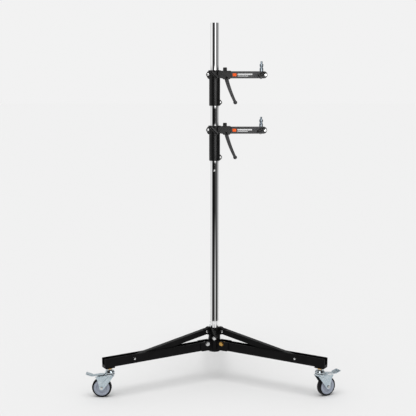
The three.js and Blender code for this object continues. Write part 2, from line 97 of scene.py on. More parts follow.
# ------------------------------------------------------------------ outlines
def rounded(points, closed=True, steps=4):
    """Corners (x, y) or (x, y, radius) as an outline, each corner with a radius rounded by an arc."""
    outline = []
    count = len(points)
    for i, (x, y, *radius) in enumerate(points):
        here = Vector((x, y))
        if not radius or (not closed and i in (0, count - 1)):
            outline.append(here)
            continue
        back = Vector(points[i - 1][:2]) - here
        ahead = Vector(points[(i + 1) % count][:2]) - here
        half = back.angle(ahead) / 2
        reach = min(radius[0] / math.tan(half), 0.49 * back.length, 0.49 * ahead.length)
        towards = (back.normalized() + ahead.normalized()).normalized()
        centre = here + towards * (reach / math.cos(half))
        start = here + back.normalized() * reach - centre
        end = here + ahead.normalized() * reach - centre
        first = math.atan2(start.y, start.x)
        sweep = (math.atan2(end.y, end.x) - first + math.pi) % math.tau - math.pi
        for k in range(steps + 1):
            a = first + sweep * k / steps
            outline.append(centre + start.length * Vector((math.cos(a), math.sin(a))))
    return outline


def circle(x, y, r, count=32, start=0.0, end=360.0):
    """Points on a circle, or on an arc of one when end - start is under a full turn."""
    full = abs(end - start) >= 360
    last = count if full else count - 1
    return [
        Vector((x + r * math.cos(a), y + r * math.sin(a)))
        for a in (math.radians(start + (end - start) * k / last) for k in range(count))
    ]


def stadium(x0, z0, x1, z1, r):
    """Outline of a flat link with round ends about two points."""
    along = math.degrees(math.atan2(z1 - z0, x1 - x0))
    return circle(x0, z0, r, 14, along + 90, along + 270) + circle(x1, z1, r, 14, along - 90, along + 90)


def inset(outline, by):
    """The outline moved inwards."""
    if by == 0:
        return outline
    pairs = list(zip(outline, outline[1:] + outline[:1]))
    side = 1 if sum(a.cross(b) for a, b in pairs) > 0 else -1
    normals = [(b - a).normalized().orthogonal() * side for a, b in pairs]
    return [
        here + (before + after) * (by / max(0.3, 1 + before.dot(after)))
        for here, before, after in zip(outline, normals[-1:] + normals[:-1], normals)
    ]


# ------------------------------------------------------------------ solids
AXIS_TURN = {
    "X": Matrix.Rotation(math.pi / 2, 4, "Y"),
    "Y": Matrix.Rotation(-math.pi / 2, 4, "X"),
    "Z": Matrix(),
}
RIM_STEPS = 2


def skin(rings, bm, closed_ends):
    """Faces between neighbouring rings of vertices; a ring of one vertex is a point on the axis."""
    sides = max(len(r) for r in rings)
    pairs = list(zip(rings, rings[1:]))
    if not closed_ends and len(rings[0]) > 1 and len(rings[-1]) > 1:
        pairs.append((rings[-1], rings[0]))
    for a, b in pairs:
        for k in range(sides):
            n = (k + 1) % sides
            corners = dict.fromkeys([a[k % len(a)], a[n % len(a)], b[n % len(b)], b[k % len(b)]])
            if len(corners) > 2:
                bm.faces.new(list(corners))
    if closed_ends:
        for ring in (rings[0], rings[-1]):
            if len(ring) > 2:
                bm.faces.new(ring)
    bmesh.ops.recalc_face_normals(bm, faces=bm.faces)
    return bm


def lathe(profile, sides=48, axis="Z", at=(0, 0, 0)):
    """Closed surface of revolution from (radius, height) points. A profile off the axis becomes a ring."""
    bm = bmesh.new()
    rings = []
    for r, h in profile:
        count = sides if r > 1e-6 else 1
        angles = [math.tau * k / sides for k in range(count)]
        rings.append([bm.verts.new((r * math.cos(a), r * math.sin(a), h)) for a in angles])
    skin(rings, bm, False)
    bm.transform(shift(*at) @ AXIS_TURN[axis])
    return bm


def rod(radius, low, high, axis="Z", at=(0, 0, 0), edge=0.4, sides=32):
    """Round bar with softened ends."""
    profile = rounded([(0, low), (radius, low, edge), (radius, high, edge), (0, high)], False, 2)
    return lathe(profile, sides, axis, at)


def ring(outer, inner, low, high, edge=0.5, sides=64, axis="Z", at=(0, 0, 0)):
    """Tube with softened rims."""
    corners = [(inner, low, edge), (outer, low, edge), (outer, high, edge), (inner, high, edge)]
    return lathe(rounded(corners, True, 2), sides, axis, at)


def prism(outline, low, high, axis="Y", edge=0.6):
    """An outline given thickness along an axis, its rims rounded; XZ, XY or YZ outlines for Y, Z or X."""
    outline = [Vector(p[:2]) for p in outline]
    quarter = [math.pi / 2 * k / RIM_STEPS for k in range(RIM_STEPS + 1)] if edge else [math.pi / 2]
    levels = [(edge * (1 - math.sin(a)), low + edge * (1 - math.cos(a))) for a in quarter]
    levels += [(by, low + high - h) for by, h in reversed(levels)]
    bm = bmesh.new()
    rings = []
    for by, h in levels:
        points = inset(outline, by)
        if axis == "Y":
            rings.append([bm.verts.new((p.x, h, p.y)) for p in points])
        elif axis == "Z":
            rings.append([bm.verts.new((p.x, p.y, h)) for p in points])
        else:
            rings.append([bm.verts.new((h, p.x, p.y)) for p in points])
    return skin(rings, bm, True)


def block(low, high, edge=0.0):
    """A rectangular block between two corners."""
    corners = [(low[0], low[2]), (high[0], low[2]), (high[0], high[2]), (low[0], high[2])]
    return prism(corners, low[1], high[1], "Y", edge)


def hexagon(across, low, high, axis="Z", at=(0, 0, 0), chamfer=0.8):
    """Hexagonal nut or bolt head with its corners chamfered."""
    corner = across / math.sqrt(3)
    six = prism(circle(0, 0, corner, 6), low, high, "Z", 0)
    body = combine("INTERSECT", six, lathe(
        [(0, low), (corner * 0.9, low), (corner * 1.01, low + chamfer), (corner * 1.01, high - chamfer),
         (corner * 0.9, high), (0, high)], 48))
    body.transform(shift(*at) @ AXIS_TURN[axis])
    return body


def socket(r, low, high):
    """Hexagonal recess along Y, as a tool to cut with."""
    return moved(prism(circle(0, 0, r, 6), low, high, "Z", 0), AXIS_TURN["Y"])


def combine(how, first, *others):
    """Boolean UNION, DIFFERENCE or INTERSECT of closed shapes."""
    made = []
    for bm in (first, *others):
        mesh = bpy.data.meshes.new("part")
        bm.to_mesh(mesh)
        bm.free()
        made.append(bpy.data.objects.new("part", mesh))
        bpy.context.scene.collection.objects.link(made[-1])
    for tool in made[1:]:
        step = made[0].modifiers.new("step", "BOOLEAN")
        step.operation = how
        step.solver = "MANIFOLD"
        step.object = tool
    graph = bpy.context.evaluated_depsgraph_get()
    result = bmesh.new()
    result.from_mesh(made[0].evaluated_get(graph).to_mesh())
    for o in made:
        mesh = o.data
        bpy.data.objects.remove(o)
        bpy.data.meshes.remove(mesh)
    return result


def join(*parts):
    return combine("UNION", *parts) if len(parts) > 1 else parts[0]


def carve(body, *tools):
    return combine("DIFFERENCE", body, *tools)


def moved(bm, matrix):
    bm.transform(matrix)
    return bm


def thread(radius, depth, pitch, low, high):
    """Profile points of a screw thread drawn as rings, from low to high."""
    count = max(1, round((high - low) / pitch))
    step = (high - low) / count
    points = []
    for k in range(count):
        points += [(radius - depth, low + step * k), (radius, low + step * (k + 0.5))]
    return points + [(radius - depth, high)]


# ------------------------------------------------------------------ materials
def make_material(name, colour, other, metal=0.0, rough=0.4, spread=0.08, grain=900.0, bump=0.05, cloud=14.0,
                  coat=0.0, stretch=(1, 1, 1), specular=0.5):
    """Finish with cloudy colour variation between two tones, uneven roughness and a fine grain."""
    mat = bpy.data.materials.new(name)
    mat.use_nodes = True
    nodes, links = mat.node_tree.nodes, mat.node_tree.links
    shader = nodes["Principled BSDF"]
    shader.inputs["Metallic"].default_value = metal
    shader.inputs["Specular IOR Level"].default_value = specular
    shader.inputs["Coat Weight"].default_value = coat
    shader.inputs["Coat Roughness"].default_value = 0.12
    where = nodes.new("ShaderNodeTexCoord")
    mapping = nodes.new("ShaderNodeMapping")
    mapping.inputs["Scale"].default_value = stretch
    links.new(where.outputs["Object"], mapping.inputs["Vector"])

    def noise(scale, detail):
        node = nodes.new("ShaderNodeTexNoise")
        node.inputs["Scale"].default_value = scale
        node.inputs["Detail"].default_value = detail
        links.new(mapping.outputs["Vector"], node.inputs["Vector"])
        return node.outputs["Fac"]

    tones = nodes.new("ShaderNodeValToRGB")
    tones.color_ramp.elements[0].position = 0.35
    tones.color_ramp.elements[0].color = (*colour, 1)
    tones.color_ramp.elements[1].position = 0.68
    tones.color_ramp.elements[1].color = (*other, 1)
    links.new(noise(cloud, 6), tones.inputs["Fac"])
    links.new(tones.outputs["Color"], shader.inputs["Base Color"])
    gloss = nodes.new("ShaderNodeMapRange")
    gloss.inputs["From Min"].default_value = 0.3
    gloss.inputs["From Max"].default_value = 0.7
    gloss.inputs["To Min"].default_value = max(0.02, rough - spread)
    gloss.inputs["To Max"].default_value = rough + spread
    links.new(noise(cloud * 4, 4), gloss.inputs["Value"])
    links.new(gloss.outputs["Result"], shader.inputs["Roughness"])
    relief = nodes.new("ShaderNodeBump")
    relief.inputs["Strength"].default_value = bump
    relief.inputs["Distance"].default_value = 0.0004
    links.new(noise(grain, 3), relief.inputs["Height"])
    links.new(relief.outputs["Normal"], shader.inputs["Normal"])
    return mat


MATERIALS = {
    "chrome": dict(
        colour=(0.82, 0.82, 0.83), other=(0.88, 0.88, 0.88), metal=1, rough=0.03, spread=0.01,
        grain=300, bump=0.01, cloud=9, stretch=(1, 1, 0.15)),
    "black_paint": dict(
        colour=(0.0022, 0.0020, 0.0022), other=(0.0045, 0.0042, 0.0046), rough=0.34, spread=0.05,
        grain=1400, bump=0.10, cloud=22, specular=0.1),
    "arm_grey": dict(
        colour=(0.036, 0.036, 0.038), other=(0.05, 0.05, 0.052), metal=0.35, rough=0.42, spread=0.05,
        grain=1600, bump=0.16, cloud=30),
    "black_plastic": dict(
        colour=(0.003, 0.003, 0.003), other=(0.006, 0.006, 0.006), rough=0.18, spread=0.05,
        grain=2400, bump=0.10, cloud=40, specular=0.45),
    "zinc": dict(
        colour=(0.46, 0.55, 0.60), other=(0.62, 0.69, 0.73), metal=1, rough=0.22, spread=0.08,
        grain=700, bump=0.10, cloud=60),
    "steel": dict(
        colour=(0.62, 0.62, 0.62), other=(0.75, 0.75, 0.74), metal=1, rough=0.22, spread=0.06,
        grain=1500, bump=0.08, cloud=120),
    "wheel_grey": dict(
        colour=(0.27, 0.30, 0.36), other=(0.35, 0.38, 0.45), rough=0.42, spread=0.06,
        grain=1800, bump=0.10, cloud=30),
    "tyre": dict(
        colour=(0.003, 0.003, 0.004), other=(0.006, 0.006, 0.008), rough=0.55, spread=0.08,
        grain=1500, bump=0.20, cloud=45, specular=0.15),
    "nylon": dict(
        colour=(0.02, 0.02, 0.021), other=(0.028, 0.028, 0.03), rough=0.5, spread=0.06,
        grain=1800, bump=0.12, cloud=30),
    "brass": dict(
        colour=(0.62, 0.36, 0.09), other=(0.74, 0.47, 0.16), metal=1, rough=0.28, spread=0.08,
        grain=900, bump=0.08, cloud=90),
    "label_accent": dict(
        colour=(0.92, 0.10, 0.0), other=(1.0, 0.13, 0.002), rough=0.45, spread=0.05,
        grain=1500, bump=0.03, cloud=40, specular=0.2),
    "label_pale": dict(
        colour=(0.62, 0.62, 0.62), other=(0.72, 0.72, 0.72), rough=0.4, spread=0.05,
        grain=1500, bump=0.03, cloud=60),
}
FINISH = {name: make_material(name, **look) for name, look in MATERIALS.items()}
SLEEVE_PAINT = make_material(
    "sleeve_paint", (0.004, 0.004, 0.004), (0.007, 0.007, 0.007), rough=0.26, spread=0.04,
    grain=1400, bump=0.08, cloud=22, specular=0.35)
HEAD_PLATE = make_material(
    "head_plate", (0.50, 0.57, 0.61), (0.66, 0.71, 0.74), metal=1, rough=0.12, spread=0.05,
    grain=900, bump=0.06, cloud=60)
STUD_STEEL = make_material(
    "stud_steel", (0.30, 0.35, 0.40), (0.44, 0.49, 0.53), metal=1, rough=0.26, spread=0.06,
    grain=900, bump=0.06, cloud=60)
LABEL_GROUND = make_material(
    "label_ground", (0.006, 0.006, 0.006), (0.009, 0.009, 0.009), rough=0.25, spread=0.05,
    grain=1500, bump=0.03, cloud=40)

# ------------------------------------------------------------------ pieces
BODY_OF = {node: body for body, nodes in frame["record"]["behaviour"]["bodies"].items() for node in nodes}
SHARP_ABOVE = math.radians(34)


def piece(name, shape, place, slot, body, material=None):
    """A shown piece from a shape in its local frame, riding on a body."""
    mesh = bpy.data.meshes.new(name)
    shape.to_mesh(mesh)
    mesh.transform(place)
    mesh.shade_smooth()
    mesh.set_sharp_from_angle(angle=SHARP_ABOVE)
    mesh.materials.append(material or FINISH[slot])
    o = bpy.data.objects.new(name, mesh)
    bpy.context.scene.collection.objects.link(o)
    even = o.modifiers.new("even", "WEIGHTED_NORMAL")
    even.keep_sharp = True
    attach(o, body)
    return o


def fine(node, shape, place, slot, material=None):
    """The detailed piece that stands for a CAD node."""
    o = piece("fine_" + node, shape, place, slot, BODY_OF[node], material)
    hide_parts(node)
    return o


# ------------------------------------------------------------------ column, hub and collar
def column_tube():
    shell = ring(COLUMN_R, BORE_R, 125, HEIGHT, 0.7, 96)
    return carve(shell, rod(5.4, -30, -5, "Y", (0, 0, BUTTON_Z)))


def column_cap():
    profile = [
        (0, HEIGHT - 22), (15.2, HEIGHT - 22, 0.5), (15.2, HEIGHT - 0.6, 0.6), (13.4, HEIGHT - 0.6, 0.4),
        (12.4, HEIGHT - 2.8, 0.6), (0, HEIGHT - 2.8),
    ]
    return lathe(rounded(profile, False, 3), 48)


def stop_button():
    head = rounded([(0, -21.5), (5, -21.5, 3.4), (5, -9), (0, -9)], False, 6)
    flange = rod(7, -10, -7.6, "Y", (0, 0, BUTTON_Z))
    return join(lathe(head, 32, "Y", (0, 0, BUTTON_Z)), flange)


def weld(points, radius=1.7, ripple=0.14):
    """Weld bead: a rippled bead along a path."""
    bm = bmesh.new()
    rings = []
    points = [Vector(p) for p in points]
    for i, here in enumerate(points):
        ahead = (points[min(i + 1, len(points) - 1)] - points[max(i - 1, 0)]).normalized()
        side = ahead.orthogonal().normalized()
        up = ahead.cross(side)
        r = radius * (1 + ripple * math.sin(i * 2.1)) * (0.35 if i in (0, len(points) - 1) else 1)
        rings.append([bm.verts.new(here + (side * math.cos(a) + up * math.sin(a)) * r)
                      for a in (math.tau * k / 10 for k in range(10))])
    return skin(rings, bm, True)


def line(a, b, count):
    return [Vector(a).lerp(Vector(b), k / (count - 1)) for k in range(count)]


def hub_bracket():
    """Bent U bracket that holds a leg, along +X."""
    out, inside = EAR_OUT, EAR_IN
    section = rounded([
        (78, out), (23, out, 4), (23, -out, 4), (78, -out),
        (78, -inside), (28, -inside, 1.5), (28, inside, 1.5), (78, inside),
    ])
    side = rounded([(10, 132), (78, 132, 8), (78, 172, 8), (10, 172)])
    return combine("INTERSECT", prism(section, 120, 180, "Z", 0), prism(side, -24, 24, "Y", 0.7))


def hub():
    parts = [ring(HUB_R, COLUMN_R + 0.3, HUB_LOW, HUB_HIGH, 1.2, 64)]
    for heading, _ in LEGS.values():
        parts.append(moved(hub_bracket(), turn(heading, "Z")))
        for y in (-12.6, 12.6):
            bead = weld(line((22.6, y, 134), (22.6, y, 170), 16))
            parts.append(moved(bead, turn(heading, "Z")))
    return join(*parts)


def leg_bolt():
    """Hex bolt through a leg's pivot: head and washer at -Y, nut, washer and thread end at +Y."""
    face = EAR_OUT + FIXED_GAP
    profile = [(0, -face - 3), (4, -face - 3), (4, face + 4.4)]
    profile += thread(4, 0.4, 1, face + 4.4, face + 7.4) + [(0, face + 7.6)]
    shaft = lathe(profile, 24, "Y")
    washers = [rod(9.4, face, face + 1.4, "Y", edge=0.3), rod(9.4, -face - 1.4, -face, "Y", edge=0.3)]
    nut = hexagon(14.6, face + 1.3, face + 6, "Y")
    head = hexagon(14.6, -face - 5.8, -face - 1.3, "Y")
    return join(shaft, *washers, nut, head)


def collar():
    parts = [ring(COLLAR_R, COLUMN_R + 0.4, COLLAR_LOW, COLLAR_HIGH, 1.4, 64)]
    for heading, _ in LEGS.values():
        outline = rounded([
            (20, 198.6), (37, 198.6, 3), (51, 205, 6), (53, 214, 7),
            (47.5, 223.4, 6), (34, 231.6, 3), (25, 231.6, 2), (20, 224),
        ])
        parts.append(moved(prism(outline, -9, 9, "Y", 1.0), turn(heading, "Z")))
    parts.append(rod(9, -36, -20, "Y", (0, 0, KNOB_Z), 1.0))
    bore = rod(COLUMN_R + 0.4, 190, 240, edge=0, sides=64)
    return carve(join(*parts), bore, rod(4.2, -40, -10, "Y", (0, 0, KNOB_Z)))


def headed_pin(radius, head, inner, thick, dome=1.6):
    """Pin along Y with a domed head at each end; the heads sit inner to inner + thick from the middle."""
    outer = inner + thick
    half = rounded([(radius, 0), (radius, inner), (head, inner, 0.3), (head, outer - dome * 0.4, 1.0),
                    (head * 0.55, outer, 1.5), (0, outer)], False, 3)
    profile = [Vector((p.x, -p.y)) for p in reversed(half)] + half[1:]
    return lathe(profile, 32, "Y")


def t_handle(neck, out, radius, span, angle):
    """Moulded T grip: the bar across at y = out, its boss back to y = neck."""
    half = span / 2 + radius
    right = [
        (0.86, 0), (0.89, half - 9), (0.99, half - 5.4), (0.94, half - 3),
        (0.75, half - 1.2), (0.42, half - 0.3), (0, half),
    ]
    profile = [(radius * r, -h) for r, h in reversed(right)] + [(radius * r, h) for r, h in right[1:]]
    flatten = Matrix.Diagonal((1, 4.5 / radius, 1, 1))
    bar = moved(lathe(profile, 28, "X"), shift(0, out + 4.6, 0) @ flatten)
    boss = rounded([
        (0, out + 1.2), (5.2, out + 1.2, 1.5), (6.6, out + 8.4, 3),
        (8, neck - 2.2, 1), (8, neck, 0.6), (0, neck),
    ], False, 4)
    return moved(join(bar, lathe(boss, 32, "Y")), turn(angle, "Y"))


def grip_screw(tip, neck):
    """Threaded shaft of a T grip, from inside its boss to its point at y = tip."""
    profile = [(0, neck - 1.5), (3.0, neck - 1.4)]
    profile += thread(3.5, 0.35, 1.1, neck - 1, tip - 1) + [(2.2, tip), (0, tip)]
    return lathe(profile, 20, "Y")


def build_grip(knob, screw, grip, place):
    """A T grip with its screw."""
    sizes = dict(grip)
    tip = sizes.pop("tip")
    fine(knob, t_handle(**sizes), place, "black_plastic")
    piece(screw, grip_screw(tip, grip["neck"]), place, "steel", knob)


# ------------------------------------------------------------------ legs and struts
def channel(width, low, high, wall, x0, x1, opens_up, bend=3.2):
    """U channel along X."""
    w, inner = width / 2, width / 2 - wall
    base, lip = (low, high) if opens_up else (high, low)
    floor = base + wall if opens_up else base - wall
    section = rounded([
        (-w, lip), (-w, base, bend), (w, base, bend), (w, lip),
        (inner, lip), (inner, floor, bend - wall), (-inner, floor, bend - wall), (-inner, lip),
    ])
    return prism(section, x0, x1, "X", 0)


def leg():
    low = -LEG_DROP - LEG_HEIGHT / 2
    high = low + LEG_HEIGHT
    body = channel(LEG_WIDTH, low, high, LEG_WALL, LEG_INNER - 1, LEG_OUTER + 1, True)
    side = rounded([
        (LEG_INNER, low - 1, 7), (LEG_OUTER, low - 1), (LEG_OUTER, high, 3), (LEG_INNER, high, 6),
    ])
    body = combine("INTERSECT", body, prism(side, -20, 20, "Y", 0.5))
    start, face = LEG_OUTER - LEG_END, LEG_OUTER + 2
    plate = face - LEG_END_PLATE
    end = rounded([
        (start, low + 1.2), (start, low - PAD_DEPTH, 1.6), (face, low - PAD_DEPTH, 6), (face, high, 3),
        (plate, high), (plate, low + 1.2),
    ])
    body = join(body, prism(end, -LEG_WIDTH / 2, LEG_WIDTH / 2, "Y", 1.0))
    holes = [rod(PIN_HOLE_R, -30, 30, "Y", at) for at in ((0, 0, 0), (STRUT_FOOT, 0, -LEG_DROP))]
    strut_slot = block((plate - 1, -STRUT_SLOT, -18), (face + 1, STRUT_SLOT, high + 1))
    return carve(body, strut_slot, *holes, rod(7, low - 12, low + 12, "Z", (LEG_OUTER - 25.2, 0, 0)))


def strut_line():
    tilt = math.radians(LEG_TILT)
    foot_t = PIVOT_T + STRUT_FOOT * math.cos(tilt) - LEG_DROP * math.sin(tilt)
    foot_z = PIVOT_Z - STRUT_FOOT * math.sin(tilt) - LEG_DROP * math.cos(tilt)
    back, rise = foot_t - COLLAR_PIN_T, COLLAR_PIN_Z - foot_z
    return foot_t, foot_z, math.hypot(back, rise), math.degrees(math.atan2(rise, back))


def strut(length):
    edge = STRUT_HEIGHT / 2
    half = STRUT_WIDTH / 2
    body = channel(STRUT_WIDTH, -edge, edge, 2, -edge - 1, length + edge + 1, False)
    body = combine("INTERSECT", body, prism(stadium(0, 0, length, 0, edge), -15, 15, "Y", 0.5))
    foot = block((-edge - 2, -half + 2, 0), (14, half - 2, edge + 2))
    head = block((length - 12, -half + 2, 0), (length + edge + 2, half - 2, edge + 2))
    holes = [rod(PIN_HOLE_R, -20, 20, "Y", (x, 0, 0)) for x in (0, length)]
    return carve(body, foot, head, *holes)


# ------------------------------------------------------------------ casters
LEG_FALL = (CASTER_T - PIVOT_T) * math.tan(math.radians(LEG_TILT))
PAD_UNDER = PIVOT_Z - LEG_DROP - LEG_HEIGHT / 2 - LEG_FALL - PAD_DEPTH


def caster_stem():
    top = PAD_UNDER + PAD_DEPTH + LEG_WALL + 0.8
    profile = [(0, 104), (7.4, 104), (7.4, PAD_UNDER - 1), (5.8, PAD_UNDER - 0.9), (5.8, top)]
    profile += thread(5.6, 0.5, 1.2, top + 0.2, top + 4.6) + [(4.2, top + 5.1), (0, top + 5.1)]
    nut = hexagon(16.4, top + 0.9, top + 4.4, "Z")
    return join(lathe(profile, 32), ring(9.4, 5.7, top, top + 1, 0.3, 40), nut)


def caster_fork():
    """The two pressed cheeks and the plate that joins them under the swivel head."""
    back_edge = [
        (TRAIL + 10.8, 48), (TRAIL + 13, 59), (TRAIL + 16.5, 71), (TRAIL + 21, 80),
        (TRAIL + 24, 84), (TRAIL + 24, 88.4), (21, 92),
    ]
    outline = [Vector((-19, 92)), Vector((TRAIL - 8.6, 34.6))]
    outline += circle(TRAIL, WHEEL_R, 9.8, 12, 212, 345)
    outline += [Vector(p) for p in back_edge]
    cheeks = [prism(outline, -17, -14.6, "Y", 0.7), prism(outline, 14.6, 17, "Y", 0.7)]
    bridge = prism(rounded([(-17, -17, 6), (21, -17, 6), (21, 17, 6), (-17, 17, 6)]), 89.4, 92.4, "Z", 0.7)
    ribs = []
    for y in (-1, 1):
        rib = rounded([(-8, 84), (8, 84, 3), (TRAIL + 4, 56, 3), (TRAIL - 4, 54, 3), (-6, 78, 3)])
        ribs.append(prism(rib, min(y * 16.4, y * 17.9), max(y * 16.4, y * 17.9), "Y", 0.7))
    return join(*cheeks, bridge, *ribs)


def caster_race():
    """Lower race of the swivel head, fixed to the fork."""
    profile = [(8.2, 91), (18, 91, 1.5), (20.6, 94.6, 1.5), (20.8, 98.4, 1), (8.2, 98.4)]
    return lathe(rounded(profile, True, 3), 64)


def caster_cap():
    """Domed upper race of the swivel head."""
    profile = [
        (8.2, 101.2), (20.6, 101.2, 0.6), (20.4, 105.4, 3),
        (16.4, 111.2, 2.5), (11.5, 111.8, 0.8), (8.2, 111.8),
    ]
    return lathe(rounded(profile, True, 3), 64)


def caster_gap_shade():
    """Dark ring between the races: painted shade of the gap between them."""
    return ring(18.6, 8.2, 98.5, 101.1, 0.4, 64)


def axle_bolt():
    """Bolt through the wheel: head at -Y, nut and thread end at +Y."""
    profile = [(0, -19), (PIN_R, -18.9), (PIN_R, 21)] + thread(PIN_R, 0.4, 1, 21.2, 24.2) + [(0, 24.4)]
    bolt = join(
        lathe(profile, 24, "Y"),
        rod(6.4, -18.2, -17.05, "Y", edge=0.3),
        rod(6.4, 17.05, 18.2, "Y", edge=0.3),
        hexagon(9.6, -21.4, -18.1, "Y"),
        hexagon(9.6, 18.1, 22.4, "Y"),
    )
    return carve(bolt, rod(2.3, -24, -19, "Y", edge=0))


def brake_pedal():
    """Pressed pedal: arm hinged behind the head, wide tread over the wheel, upturned toe."""
    arm = rounded([
        (24, 93.3), (40, 92.5, 8), (68, 87.8, 4), (97, 96.7, 1),
        (97, 99.5, 1), (68, 90.7, 4), (40, 95.5, 8), (24, 96.3),
    ])
    tread = rounded([(71, 88.5, 0.6), (97, 96.5, 0.8), (97, 99.9, 1), (71, 91.8, 0.6)])
    plate = prism(rounded([(69, -16, 5), (98, -16, 7), (98, 16, 7), (69, 16, 5)]), 80, 110, "Z", 0)
    shoe = combine("INTERSECT", prism(tread, -16, 16, "Y", 0.6), plate)
    grips = [block((x, -11, z), (x + 2, 11, z + 1.9), 0.4) for x, z in ((80, 94), (85, 95.6), (90, 97.1))]
    return join(prism(arm, -11.8, 11.8, "Y", 0.6), shoe, *grips)


def wheel_core():
    half = [
        (10.5, 13), (12, 12.4), (12.8, 8.4), (15, 8), (21.5, 8.2), (22.6, 10.6),
        (25, 11.4), (28.6, 11.6), (29.6, 10.2), (30.6, 10.2), (31.4, 11.4), (32.8, 11.5),
    ]
    corners = [(4.4, -13)] + [(r, -y) for r, y in half] + [(r, y) for r, y in reversed(half)] + [(4.4, 13)]
    return lathe(rounded([(r, y, 0.7) for r, y in corners], True, 2), 72, "Y")


def wheel_bearing(y):
    """Bearing cap in the middle of the wheel."""
    low, high = (y, y + 1.2) if y > 0 else (y - 1.2, y)
    return ring(9.6, 4.4, low, high, 0.4, 40, "Y")


def tyre():
    profile = [
        (33.1, -11.6, 0.4), (36, -12, 1.5), (39.2, -9.8, 2.5), (WHEEL_R, -6, 4),
        (WHEEL_R, 6, 4), (39.2, 9.8, 2.5), (36, 12, 1.5), (33.1, 11.6, 0.4),
    ]
    return lathe(rounded(profile, True, 4), 96, "Y")


# ------------------------------------------------------------------ side arms
def roller_room(spec):
    """Slot across the sleeve's wall for a roller, and the hole for its axle."""
    x, z, r = spec["x"], spec["z"], spec["r"] + 1
    outward = math.copysign(1, x)
    x0, x1 = sorted((outward * 12, x + outward * 30))
    return [block((x0, -6.2, z - r), (x1, 6.2, z + r)), rod(3.3, -20, 20, "Y", (x, 0, z))]


def arm_sleeve():
    profile = [
        (BORE_OF_SLEEVE, -129, 0.8), (22.2, -129, 1), (23, -126.5, 1), (23, 13.5, 1.2),
        (26.5, 15, 1), (26.5, 19, 1.2), (BORE_OF_SLEEVE, 19, 0.8),
    ]
    barrel = lathe(rounded(profile, True, 3), 72)
    top = rounded([(0, 16), (-28, 16, 9), (-36.6, 1, 9), (-28, -17, 9), (0, -21)], steps=6)
    low = rounded([(0, -98), (24, -103, 8), (34.6, -115, 9), (24, -126, 8), (0, -127)], steps=6)
    shape = rounded([
        (10, -12), (34, -15, 4), (36, -19, 3), (64, -19, 6), (69, -11, 5), (69, 17, 3), (10, 17),
    ])
    boss = rounded([(0, -32), (9.2, -32, 1.2), (10.5, -22, 3), (12.5, -16), (0, -16)], False, 4)
    body = join(
        barrel,
        prism(top, -12, 12, "Y", 1.4),
        prism(low, -12, 12, "Y", 1.4),
        prism(shape, -17, 17, "Y", 1.8),
        lathe(boss, 40, "Y"),
    )
    bar_slot = block((33, -10.3, -15), (74, 10.3, 19))
    lever_slot = block((36, -6.5, -25), (64, 6.5, -10))
    bore = rod(BORE_OF_SLEEVE, -130, 20, edge=0, sides=72)
    rooms = roller_room(TOP_ROLLER) + roller_room(LOW_ROLLER)
    return carve(body, bore, *rooms, bar_slot, lever_slot, rod(4.4, -40, -10, "Y"))


def liner():
    """Guide bush between the two rollers."""
    return ring(19.1, COLUMN_R + 0.4, -106.1, -10.1, 0.6, 64)


def roller(spec):
    r = spec["r"]
    profile = [(3.2, -5.4, 0.4), (r - 0.6, -5.4, 1), (r, 0, 12), (r - 0.6, 5.4, 1), (3.2, 5.4, 0.4)]
    return lathe(rounded(profile, True, 5), 40, "Y")


def roller_axle(spec):
    """Shoulder screw along Y: button head with a hexagonal socket in front, nut behind."""
    head = spec["head"]
    profile = [
        (0, -15.6), (head * 0.6, -15.6, 1), (head, -13.6, 1), (head, -12.3, 0.3), (2.9, -12.3),
        (2.9, 12.3), (0, 12.3),
    ]
    screw = carve(lathe(rounded(profile, False, 3), 40, "Y"), socket(head * 0.42, -17, -14))
    nut = hexagon(head * 1.8, 12.2, 15.6, "Y")
    return join(screw, nut)


def arm_bar():
    end = BAR_END - BAR_HALF
    outline = rounded([
        (end, BAR_HALF), (BAR_START, BAR_HALF, 1.5), (BAR_START, -BAR_HALF, 1.5), (end, -BAR_HALF),
    ])
    outline += circle(end, 0, BAR_HALF, 24, -90, 90)[1:-1]
    body = prism(outline, -BAR_FACE, BAR_FACE, "Y", 1.6)
    return carve(
        body,
        rod(8.35, -9, 24, "Z", (STUD_X, 0, 0)),
        rod(4, -20, -5, "Z", (STUD_X, 0, 0)),
        block((35, -6.8, -20), (65, 6.8, 6)),
        rod(4.4, -20, 0, "Y", (STUD_X, 0, 2)),
        rod(4.4, 2, 20, "Z", (KNOB_X, 0, 0)),
    )


def brake_lever():
    """Curved blade that thins towards its ball end."""
    left, right = [], []
    steps = 12
    for i in range(steps + 1):
        s = i / steps
        x = 50 + 37 * (0.72 * s + 0.28 * s * s)
        z = -19 - 96 * s
        width = 8.4 - 1.9 * s
        left.append(Vector((x - width, z)))
        right.append(Vector((x + width, z)))
    blade = prism(left + right[::-1], -5, 5, "Y", 2.2)
    groove = prism(inset(left + right[::-1], 2.6)[1:-1], -6.5, -4.3, "Y", 0.0)
    eye = rod(7.6, -5, 5, "Y", (50, 0, -16), 0.8)
    ball_r = 8.3
    arc = [math.pi * k / 20 for k in range(21)]
    ball = lathe([(ball_r * math.sin(a), -ball_r * math.cos(a)) for a in arc], 32, "Z", (87, 0, -115))
    return join(carve(blade, groove), eye, ball)


def lever_pin():
    return headed_pin(3, 4.6, 17.1, 1.6, 0.8)


def adjuster():
    """Ribbed knob on a screw."""
    ribs = 20
    depths = (0, 0.2, 0.45, 0.2)
    outline = []
    for k in range(ribs * 4):
        a, r = math.tau * k / (ribs * 4), 8.3 - depths[k % 4]
        outline.append(Vector((r * math.cos(a), r * math.sin(a))))
    knob = prism(outline, 17, 29.4, "Z", 0.5)
    cap = [(0, 15.5), (7.4, 15.5, 0.6), (7.9, 17.6), (7.9, 28.8), (7.2, 30.8, 1.5), (0, 31)]
    return join(knob, lathe(rounded(cap, False, 3), 40))


def adjuster_screw():
    return lathe([(0, 8.6), (3.0, 8.6)] + thread(3.5, 0.35, 1.1, 8.8, 15.4) + [(3, 15.8), (0, 15.8)], 20)


